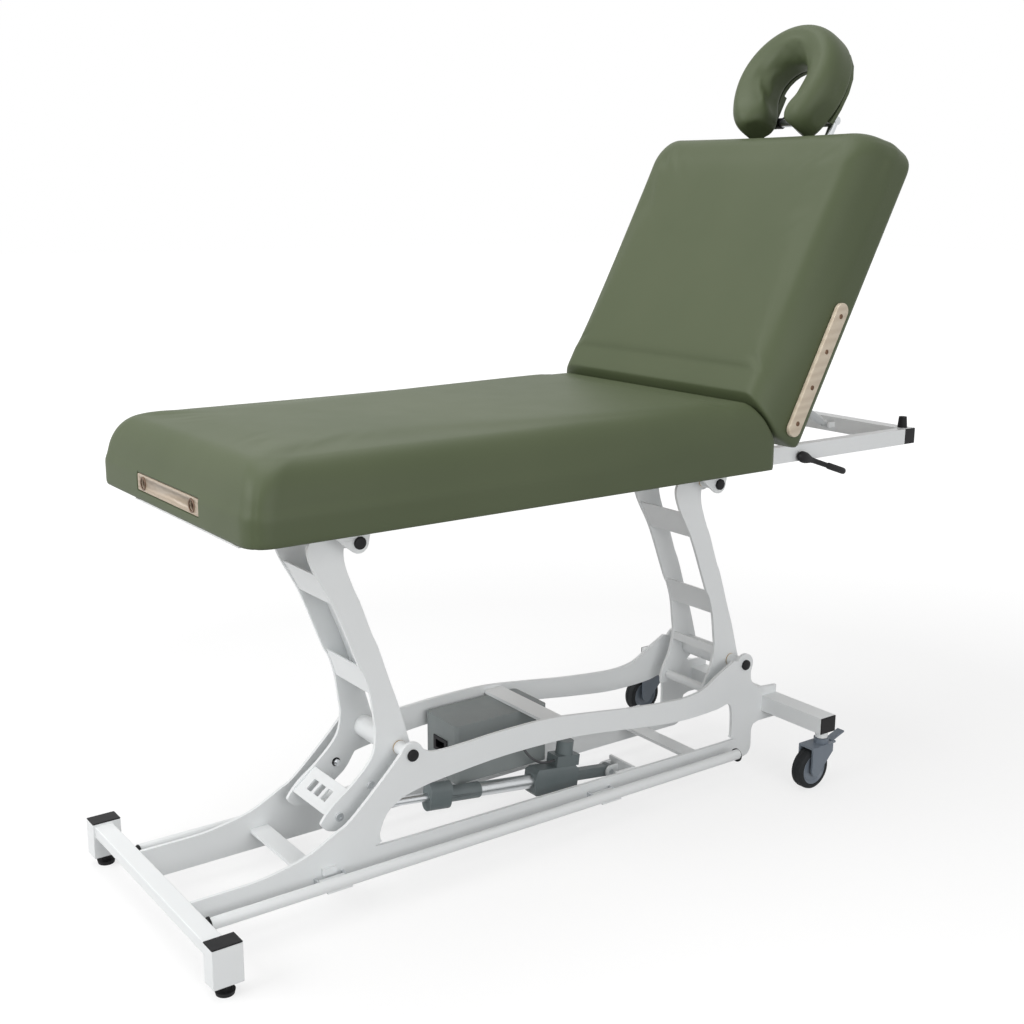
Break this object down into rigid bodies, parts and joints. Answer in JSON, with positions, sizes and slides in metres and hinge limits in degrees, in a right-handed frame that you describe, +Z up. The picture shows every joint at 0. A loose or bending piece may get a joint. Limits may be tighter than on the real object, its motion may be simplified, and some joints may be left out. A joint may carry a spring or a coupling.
{
  "type": "electric massage table",
  "caption": "Height-adjustable massage table on two parallel legs driven by an electric actuator, with a lift-up backrest, a face cradle, foot bars and casters.",
  "frame": {"origin": "on the floor, halfway between the foot posts' foot faces and the head end of the top frame", "axes": "+X from the foot end to the head end, +Z up, +Y away from the side with the release lever"},
  "size_m": [1.935, 0.735, 1.7844],
  "materials": {
    "black_plastic": "satin",
    "board": "satin",
    "box_grey": "satin",
    "bright_steel": "satin",
    "bronze": "satin",
    "cable": "satin",
    "caster_blue": "satin",
    "foot_rubber": "matt",
    "frame_steel": "gloss",
    "motor_grey": "satin",
    "strut_black": "satin",
    "tube_grey": "satin",
    "tyre_rubber": "matt",
    "vinyl": "soft satin vinyl over foam",
    "wood": "oiled"
  },
  "bodies": {
    "base": {"foot_stand": "frame_steel", "base_end_caps": "black_plastic", "foot_glides": "foot_rubber", "left_side_plate": "frame_steel", "right_side_plate": "frame_steel", "cross_braces": "frame_steel", "head_crossbar": "frame_steel", "lower_axles": "bright_steel", "axle_spacers": "frame_steel", "control_box": "box_grey", "control_box_cover": "box_grey", "control_board": "board", "mains_inlet": "black_plastic", "control_lead": "cable", "ram_anchor": "frame_steel", "ram_anchor_pin": "bright_steel", "foot_bar_hinges": "bright_steel", "foot_switches": "black_plastic"},
    "left_foot_bar": {"left_foot_bar": "frame_steel"},
    "right_foot_bar": {"right_foot_bar": "frame_steel"},
    "left_caster": {"left_caster_fork": "caster_blue"},
    "left_wheel": {"left_caster_wheel": "tyre_rubber"},
    "left_pedal": {"left_caster_pedal": "caster_blue"},
    "right_caster": {"right_caster_fork": "caster_blue"},
    "right_wheel": {"right_caster_wheel": "tyre_rubber"},
    "right_pedal": {"right_caster_pedal": "caster_blue"},
    "ram": {"ram_tube": "tube_grey", "ram_head": "motor_grey", "ram_gearbox": "motor_grey", "ram_motor": "motor_grey", "ram_spindle": "bright_steel"},
    "ram_rod": {"ram_rod": "bright_steel"},
    "foot_leg": {"foot_leg_plates": "frame_steel", "foot_leg_webs": "frame_steel", "foot_leg_bushes": "bronze", "crank_bolts": "bright_steel"},
    "head_leg": {"head_leg_plates": "frame_steel", "head_leg_webs": "frame_steel", "head_leg_bushes": "bronze"},
    "top": {"top_frame": "frame_steel", "frame_lugs": "frame_steel", "frame_end_caps": "black_plastic", "bumpers": "foot_rubber", "upper_axles": "bright_steel", "seat_deck": "wood", "seat_cushion": "vinyl", "foot_end_block": "wood", "seat_hinge_leaves": "bright_steel"},
    "back": {"back_deck": "wood", "back_cushion": "vinyl", "back_fittings": "bright_steel", "side_strips": "wood", "side_strip_screws": "bright_steel"},
    "strut": {"strut_body": "strut_black"},
    "strut_rod": {"strut_rod": "bright_steel"},
    "lever": {"release_lever": "black_plastic"},
    "cradle": {"cradle_frame": "tube_grey"},
    "face_rest": {"cradle_platform": "black_plastic", "cradle_cushion": "vinyl"},
    "clamp": {"cradle_clamp": "black_plastic"}
  },
  "joints": [
    {"name": "lift", "type": "hinge", "parent": "base", "child": "foot_leg", "pos_m": [-0.4365, 0, 0.27], "axis": [0, 1, 0], "range_deg": [-69.26, 0]},
    {"name": "head_leg_swing", "type": "hinge", "parent": "base", "child": "head_leg", "pos_m": [0.5205, 0, 0.27], "axis": [0, 1, 0], "range_deg": [-69.31, 0.05]},
    {"name": "top_level", "type": "hinge", "parent": "foot_leg", "child": "top", "pos_m": [-0.5495, 0, 0.735], "axis": [0, 1, 0], "range_deg": [-0.05, 69.31]},
    {"name": "ram_tilt", "type": "hinge", "parent": "base", "child": "ram", "pos_m": [0.1525, -0.05, 0.06], "axis": [0, 1, 0], "range_deg": [-3.63, 0.05]},
    {"name": "ram_slide", "type": "slide", "parent": "ram", "child": "ram_rod", "axis": [-0.992, 0, 0.1259], "range_m": [-0.2075, 0.0003]},
    {"name": "backrest", "type": "hinge", "parent": "top", "child": "back", "pos_m": [0.3545, 0, 0.88], "axis": [0, 1, 0], "range_deg": [0, 62]},
    {"name": "strut_tilt", "type": "hinge", "parent": "top", "child": "strut", "pos_m": [0.9125, 0, 0.811], "axis": [0, 1, 0], "range_deg": [-23.77, 0.05]},
    {"name": "strut_slide", "type": "slide", "parent": "strut", "child": "strut_rod", "axis": [-0.884, 0, 0.4676], "range_m": [-0.1234, 0.0003]},
    {"name": "release_lever", "type": "hinge", "parent": "top", "child": "lever", "pos_m": [0.5525, -0.2488, 0.803], "axis": [0, 1, 0], "range_deg": [-19, 0], "stiffness_Nm_per_rad": 3, "springref_deg": 8.59},
    {"name": "cradle_slide", "type": "slide", "parent": "back", "child": "cradle", "axis": [0.4695, 0, 0.8829], "range_m": [0, 0.07]},
    {"name": "face_rest_tilt", "type": "hinge", "parent": "cradle", "child": "face_rest", "pos_m": [0.75196, 0, 1.56], "axis": [0, 1, 0], "range_deg": [0, 30]},
    {"name": "cradle_clamp", "type": "hinge", "parent": "cradle", "child": "clamp", "pos_m": [0.75196, 0.057, 1.56], "axis": [0, 1, 0], "range_deg": [0, 60]},
    {"name": "left_foot_bar", "type": "hinge", "parent": "base", "child": "left_foot_bar", "pos_m": [0, -0.144, 0.057], "axis": [1, 0, 0], "range_deg": [-6, 6], "stiffness_Nm_per_rad": 60, "springref_deg": -0.72},
    {"name": "left_caster_swivel", "type": "hinge", "parent": "base", "child": "left_caster", "pos_m": [0.61, -0.305, 0.12], "axis": [0, 0, 1], "continuous": true},
    {"name": "left_wheel_spin", "type": "hinge", "parent": "left_caster", "child": "left_wheel", "pos_m": [0.574, -0.305, 0.05], "axis": [0, 1, 0], "continuous": true},
    {"name": "left_caster_pedal", "type": "hinge", "parent": "left_caster", "child": "left_pedal", "pos_m": [0.637, -0.305, 0.1055], "axis": [0, 1, 0], "range_deg": [0, 12], "stiffness_Nm_per_rad": 2, "springref_deg": -5.73},
    {"name": "right_foot_bar", "type": "hinge", "parent": "base", "child": "right_foot_bar", "pos_m": [0, 0.144, 0.057], "axis": [1, 0, 0], "range_deg": [-6, 6], "stiffness_Nm_per_rad": 60, "springref_deg": 0.72},
    {"name": "right_caster_swivel", "type": "hinge", "parent": "base", "child": "right_caster", "pos_m": [0.61, 0.305, 0.12], "axis": [0, 0, 1], "continuous": true},
    {"name": "right_wheel_spin", "type": "hinge", "parent": "right_caster", "child": "right_wheel", "pos_m": [0.574, 0.305, 0.05], "axis": [0, 1, 0], "continuous": true},
    {"name": "right_caster_pedal", "type": "hinge", "parent": "right_caster", "child": "right_pedal", "pos_m": [0.637, 0.305, 0.1055], "axis": [0, 1, 0], "range_deg": [0, 12], "stiffness_Nm_per_rad": 2, "springref_deg": -5.73}
  ],
  "couplings": [
    {"joint": "head_leg_swing", "follows": "lift", "ratio": 1},
    {"joint": "top_level", "follows": "lift", "ratio": -1},
    {"joint": "ram_tilt", "follows": "lift", "ratio": 0.051622},
    {"joint": "ram_slide", "follows": "lift", "m_per_rad": 0.17142},
    {"joint": "strut_tilt", "follows": "backrest", "ratio": -0.38261},
    {"joint": "strut_slide", "follows": "backrest", "m_per_rad": -0.11379}
  ]
}
